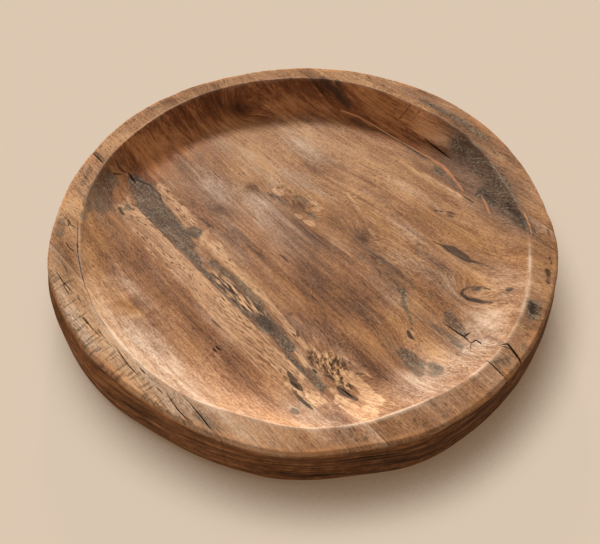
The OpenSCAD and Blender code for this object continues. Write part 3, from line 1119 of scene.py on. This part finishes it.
def timber(name):
    """Oiled, hand-worked wood: streaks, growth lines and pores along the grain, and the piece's marks."""
    dark, middle, light, rough = TIMBERS[name]
    s = Shader(name)
    place, about = s.place("grain"), s.place("round")
    broad = s.noise(place, (0.0065, 0.060, 0.060), 3.0, 0.55)
    streaks = s.noise(place, (0.016, 0.24, 0.24), 3.0, 0.55)
    threads = s.noise(place, (0.014, 0.60, 0.60), 2.0, 0.6)
    fine = s.noise(place, (0.06, 1.05, 1.05), 2.0, 0.65)
    grit = s.noise(place, (0.45, 0.80, 0.80), 2.0, 0.6)
    mottle = s.noise(place, (0.09, 0.20, 0.20), 4.0, 0.6)
    cloud = s.noise(place, (0.022, 0.035, 0.035), 3.0, 0.55)
    pore_field = s.ease(s.noise(place, (0.012, 0.08, 0.08), 2.0), 0.34, 0.60)
    pits = s.noise(place, (0.17, 1.05, 1.05), 1.0)
    pores = s.times(s.ease(pits, 0.58, 0.70), pore_field)

    own_tone = (s.value("tone"), 0.56)
    grown = s.sum((broad, 0.90), (streaks, 0.70), (threads, 0.45), (fine, 0.75), (grit, 1.05),
                  (cloud, 0.80), (mottle, 0.30), own_tone)
    tone = s.math("SUBTRACT", grown, 1.95)
    colour = s.ramp(tone, linear(*dark), linear(*middle), linear(*light))
    settled = s.sum((broad, 0.7), (cloud, 0.8), (streaks, 0.4), (fine, 0.7), (grit, 0.8), (mottle, 0.3),
                    own_tone)
    calm = s.math("SUBTRACT", settled, 1.35)
    shaded = s.sum((broad, 0.95), (streaks, 0.95), (threads, 0.6), (fine, 0.40), (grit, 0.35),
                   (cloud, 0.80), (mottle, 0.30), own_tone)
    rich = s.math("SUBTRACT", shaded, 1.66)

    def lay(share, over):
        return s.mix(s.node("ShaderNodeClamp", {"Value": share}).outputs[0], colour, over)

    def broken(channel, most, thin):
        """A mark's cover, frayed along the grain at its edges and worn thin in streaks inside them."""
        cover = s.ease(s.sum((s.value(channel), 1.0), (streaks, 0.5), (fine, 0.45)), 0.58, 1.20)
        worn = s.ease(s.sum((streaks, 0.45), (fine, 0.55)), 0.38, 0.60, thin, 1.0)
        return s.times(cover, worn, most)

    rim, wall = s.value("rim"), s.value("wall")
    colour = lay(s.times(rim, 0.75), s.ramp(calm, *RIM_DRY))
    hue = s.noise(place, (0.012, 0.05, 0.05), 3.0, 0.6)
    colour = lay(s.ease(hue, 0.50, 0.70, 0.0, 0.42), s.ramp(tone, *ASH_AND_SHEEN))
    colour = lay(s.ease(hue, 0.50, 0.32, 0.0, 0.45), s.ramp(tone, *OCHRE))
    uneven = s.ease(s.sum((streaks, 0.5), (mottle, 0.5)), 0.36, 0.62, 0.3, 0.75)
    # Grey patches: partly greyish wood, partly painted sheen
    colour = lay(s.times(s.value("ash_and_sheen"), uneven), s.ramp(tone, *ASH_AND_SHEEN))
    uneven = s.ease(s.sum((broad, 0.5), (mottle, 0.5)), 0.34, 0.62, 0.35, 0.85)
    colour = lay(s.times(s.value("ochre"), uneven), s.ramp(tone, *OCHRE))
    # Dark reddish wood past the wavy line, and painted shade on the far left wall
    colour = lay(s.times(s.value("deep_and_shade"), 0.94), s.ramp(rich, *DEEP_WOOD_AND_SHADE))
    colour = lay(s.times(s.value("umber"), 0.85), s.ramp(calm, *UMBER))

    pale = broken("pale", 0.9, 0.35)
    colour = lay(pale, s.ramp(s.sum((tone, 0.6), (fine, 0.3), (mottle, 0.3)), *SAPWOOD))
    knobbly = s.noise(place, (0.20, 0.30, 0.30), 3.0, 0.68)
    burl = s.ease(s.sum((s.value("burl"), 1.0), (mottle, 0.8)), 0.70, 1.30)
    colour = lay(burl, s.ramp(s.ease(knobbly, 0.36, 0.66), *BURL))
    blot = s.sum((s.value("grey"), 1.0), (streaks, 0.45), (mottle, 0.7), (grit, 0.4))
    patchy = s.ease(s.sum((mottle, 0.5), (grit, 0.5)), 0.36, 0.60, 0.50, 0.97)
    spalted = s.ease(s.sum((mottle, 0.3), (grit, 0.5), (streaks, 0.2)), 0.39, 0.61)
    colour = lay(s.times(s.ease(blot, 0.90, 1.55), patchy), s.ramp(spalted, *SPALT))
    fibres = s.noise(place, (0.075, 0.62, 0.62), 2.0, 0.7)
    torn = s.ease(s.sum((s.value("torn"), 1.0), (mottle, 0.8)), 0.75, 1.30)
    colour = lay(torn, s.ramp(s.ease(fibres, 0.38, 0.62), *TORN))
    colour = lay(broken("cream", 0.95, 0.5), s.ramp(s.math("ADD", tone, 0.12), *CREAM))
    glowing = s.times(s.ease(s.value("orange"), 0.25, 0.95), s.ease(streaks, 0.30, 0.55, 0.45, 0.9))
    colour = lay(glowing, GLOWING_LINE)
    flecks = s.times(s.ease(pits, 0.54, 0.64), s.sum((pale, 0.8), (rim, 0.18)))
    colour = lay(s.sum((pores, 0.42), (flecks, 0.8)), linear(*[c * 0.6 for c in dark]))

    if name == PITTED_SLOT:
        colour = lay(s.ease(s.sum((knobbly, 0.7), (grit, 0.3)), 0.50, 0.66, 0.0, 0.6), PIT)
    layers = s.noise(about, (0.020, 0.20, 1.0), 4.0, 0.62)
    chips = s.noise(about, (0.12, 0.60, 1.0), 3.0, 0.62)
    side = s.ramp(s.math("SUBTRACT", s.sum((layers, 1.7), (chips, 1.3), (mottle, 0.4)), 1.2), *WALL_WOOD)
    colour = lay(s.times(wall, 0.92), side)
    # Lighter orange band at the foot: partly orange wood, partly painted light thrown up from the floor
    colour = lay(s.times(s.value("foot"), s.ease(chips, 0.40, 0.62, 0.0, 0.7)), FOOT_BOUNCE_LIGHT)
    stain = s.ease(s.noise(about, (0.015, 0.10, 1.0), 5.0, 0.68), 0.50, 0.66)
    colour = lay(s.times(stain, wall, 0.75), WALL_DARK_TONE)
    # The outer wall darker towards its right side
    colour = lay(s.times(s.value("darker_right_wall"), s.ease(layers, 0.36, 0.64, 0.46, 0.22)), WALL_DARK_TONE)
    rubbed = s.ease(s.noise(about, (0.03, 0.4, 1.0), 4.0, 0.6), 0.44, 0.66, 0.0, 0.6)
    colour = lay(s.times(s.value("worn"), rubbed), WORN_EDGE)
    # Painted highlight along the lip of the well, broken up by noise
    lip_shine_broken = s.ease(s.noise(about, (0.045, 0.2, 1.0), 3.0), 0.30, 0.56, 0.22, 0.78)
    colour = lay(s.times(s.value("lip_highlight"), lip_shine_broken), LIP_HIGHLIGHT)

    cross = s.ease(s.noise(place, (0.46, 0.06, 0.06), 2.0, 0.55), 0.56, 0.65)
    along = s.ease(s.noise(place, (0.04, 0.80, 0.80), 3.0, 0.65), 0.54, 0.68)
    colour = lay(s.times(s.value("checked"), s.sum((cross, 0.46), (along, 0.45))), KNOT)
    colour = lay(broken("dark", 0.93, 0.7), KNOT)
    colour = lay(s.times(s.value("seam"), s.ease(streaks, 0.3, 0.6, 0.35, 0.95)), OPEN_SPLIT)
    colour = lay(s.ease(s.value("split"), 0.15, 0.75), OPEN_SPLIT)
    s.put(s.surface.inputs["Base Color"], colour)

    polish = s.sum((streaks, 0.22), (mottle, 0.14), (rim, 0.22), (wall, 0.22), (pores, 0.15))
    s.put(s.surface.inputs["Roughness"], s.math("ADD", polish, rough - 0.04))
    s.surface.inputs["Specular IOR Level"].default_value = 0.10

    height = s.sum((fine, 0.5), (streaks, 0.4), (pores, -0.8), (mottle, 0.25))
    bump = s.node("ShaderNodeBump", {"Height": height, "Strength": 0.6, "Distance": 0.0005})
    s.put(s.surface.inputs["Normal"], bump.outputs[0])
    return s.material


# Dressing

def surface_normals(bm):
    bm.normal_update()
    return np.array([v.normal[:] for v in bm.verts])


def dress(bm, normals, node, slot, seed):
    """Turns a cut and closed board into the finished piece."""
    places = Places(coordinates(bm), normals)
    bmesh.ops.recalc_face_normals(bm, faces=bm.faces[:])
    mesh = bpy.data.meshes.new(node + ".wood")
    bm.to_mesh(mesh)
    bm.free()
    moved = places.base + normals * relief(places)[:, None]
    moved[:, 2] = np.maximum(moved[:, 2], 0.0)
    mesh.vertices.foreach_set("co", (moved * MM).ravel())
    mesh.update()
    for name, values in masks(places, seed).items():
        mesh.attributes.new(name, "FLOAT", "POINT").data.foreach_set("value", values)
    grain = mesh.attributes.new("grain", "FLOAT_VECTOR", "POINT")
    grain.data.foreach_set("vector", grain_place(places, seed).ravel())
    about = mesh.attributes.new("round", "FLOAT_VECTOR", "POINT")
    about.data.foreach_set("vector", places.unrolled.ravel())
    mesh.materials.append(timber(slot))
    piece = bpy.data.objects.new(node + ".wood", mesh)
    bpy.context.scene.collection.objects.link(piece)
    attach(piece, "root")
    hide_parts(node)


def make_board(index, node, slot, patch=None):
    """Cuts one board, or the block let into it, out of the surface, closes it and dresses it."""
    bm, low, high = cut_to_board(index)
    refine(bm)
    if patch is not None:
        part_at_patch(bm, keep_patch=patch)
    for face in bm.faces:
        face.smooth = True
    normals = surface_normals(bm)
    if patch is not None:
        close_patch(bm)
    close_seams(bm, low, high)
    dress(bm, normals, node, slot, PATCH if patch else index)


for index, (node, slot) in enumerate(BOARDS):
    make_board(index, node, slot, patch=False if index == PATCH_HOST else None)
make_board(PATCH_HOST, "rim_patch", "patch_wood", patch=True)


# Floor, light and camera

def aimed(place, target):
    return (Vector(target) - Vector(place)).to_track_quat("-Z", "Y")


KEY_TURN = 143.0
KEY_LIFT = 21.0
KEY_SPREAD = 5.0
KEY_STRENGTH = 5.6
SKY_STRENGTH = 0.30
FILL_TURN = 265.0
FILL_LIFT = 35.0
FILL_SPREAD = 90.0
FILL_STRENGTH = 0.75
LAMP_COLOUR = (1.0, 0.97, 0.92)
SKY_COLOUR = (1.0, 0.95, 0.89, 1.0)
FLOOR_COLOUR = linear(220, 200, 178)
FLOOR_GLOW = 0.95
FLOOR_HALF = 6.0
FLOOR_DROP = 0.0004

# The soft shade on the floor: its colour, the side that it lies on, and how far it reaches
SHADE_COLOUR = linear(116, 92, 70)
SHADE_TURN = 172.0
SHADE_LEAN = (0.6, 0.8)
SHADE_REACH = 0.055

# The camera that was fitted to the photograph
CAMERA_PLACE = (0.3038, -0.2706, 0.5102)
CAMERA_TARGET = (0.04102, -0.03982, 0.057)
CAMERA_LENS = 42.84
CAMERA_SENSOR = 36.0


def seen_rays(tree):
    """One for the rays that show the background: straight from the camera, mirrored or through glass."""
    path = tree.nodes.new("ShaderNodeLightPath")
    share = path.outputs["Is Camera Ray"]
    for kind in ("Is Glossy Ray", "Is Transmission Ray"):
        either = tree.nodes.new("ShaderNodeMath")
        either.operation = "MAXIMUM"
        tree.links.new(share, either.inputs[0])
        tree.links.new(path.outputs[kind], either.inputs[1])
        share = either.outputs[0]
    return share


def add_floor():
    """A plain pale floor. Its colour shows by itself to the camera, so that the shadow stays soft."""
    mesh = bpy.data.meshes.new("floor")
    corners = [(FLOOR_HALF * x, FLOOR_HALF * y, 0) for x, y in ((-1, -1), (1, -1), (1, 1), (-1, 1))]
    mesh.from_pydata(corners, [], [(0, 1, 2, 3)])
    floor = bpy.data.objects.new("floor", mesh)
    floor.location.z = -FLOOR_DROP
    bpy.context.scene.collection.objects.link(floor)
    s = Shader("floor")
    s.surface.inputs["Base Color"].default_value = FLOOR_COLOUR
    s.surface.inputs["Roughness"].default_value = 0.9
    s.surface.inputs["Specular IOR Level"].default_value = 0.1
    turn = math.radians(SHADE_TURN)
    aside, up = SHADE_LEAN
    lean = s.node("ShaderNodeCombineXYZ", {0: aside * math.cos(turn), 1: aside * math.sin(turn), 2: up})
    inputs = {"Distance": SHADE_REACH, "Normal": lean.outputs[0]}
    nearby = s.node("ShaderNodeAmbientOcclusion", inputs, samples=16)
    shade = s.mix(s.ease(nearby.outputs["AO"], 0.32, 0.90), SHADE_COLOUR, FLOOR_COLOUR)
    glow = s.node("ShaderNodeEmission", {"Color": shade})
    share = s.times(seen_rays(s.tree), FLOOR_GLOW)
    both = s.node("ShaderNodeMixShader", {0: share, 1: s.surface.outputs[0], 2: glow.outputs[0]})
    s.put(s.tree.nodes["Material Output"].inputs["Surface"], both.outputs[0])
    mesh.materials.append(s.material)


def add_lamp(name, turn, lift, spread, strength):
    """A far lamp, by its angles in degrees and its apparent size."""
    lamp = bpy.data.lights.new(name, "SUN")
    lamp.energy = strength
    lamp.angle = math.radians(spread)
    lamp.color = LAMP_COLOUR
    stand = bpy.data.objects.new(name, lamp)
    turn, lift = math.radians(turn), math.radians(lift)
    stand.location = (math.cos(lift) * math.cos(turn), math.cos(lift) * math.sin(turn), math.sin(lift))
    stand.rotation_mode = "QUATERNION"
    stand.rotation_quaternion = aimed(stand.location, (0, 0, 0))
    bpy.context.scene.collection.objects.link(stand)


def add_world():
    world = bpy.data.worlds.new("studio")
    world.use_nodes = True
    tree = world.node_tree
    sky = tree.nodes["Background"]
    sky.inputs["Color"].default_value = SKY_COLOUR
    sky.inputs["Strength"].default_value = SKY_STRENGTH
    seen = tree.nodes.new("ShaderNodeBackground")
    seen.inputs["Color"].default_value = FLOOR_COLOUR
    mix = tree.nodes.new("ShaderNodeMixShader")
    tree.links.new(seen_rays(tree), mix.inputs[0])
    tree.links.new(sky.outputs[0], mix.inputs[1])
    tree.links.new(seen.outputs[0], mix.inputs[2])
    tree.links.new(mix.outputs[0], tree.nodes["World Output"].inputs["Surface"])
    bpy.context.scene.world = world


def add_camera():
    camera = bpy.data.cameras.new("camera")
    camera.lens = CAMERA_LENS
    camera.sensor_width = CAMERA_SENSOR
    camera.sensor_fit = "HORIZONTAL"
    camera.clip_start = 0.01
    seen = bpy.data.objects.new("camera", camera)
    seen.location = CAMERA_PLACE
    seen.rotation_mode = "QUATERNION"
    seen.rotation_quaternion = aimed(seen.location, CAMERA_TARGET)
    bpy.context.scene.collection.objects.link(seen)
    bpy.context.scene.camera = seen


add_floor()
add_lamp("key", KEY_TURN, KEY_LIFT, KEY_SPREAD, KEY_STRENGTH)
add_lamp("fill", FILL_TURN, FILL_LIFT, FILL_SPREAD, FILL_STRENGTH)
add_world()
add_camera()
bpy.context.scene.view_settings.view_transform = "Standard"
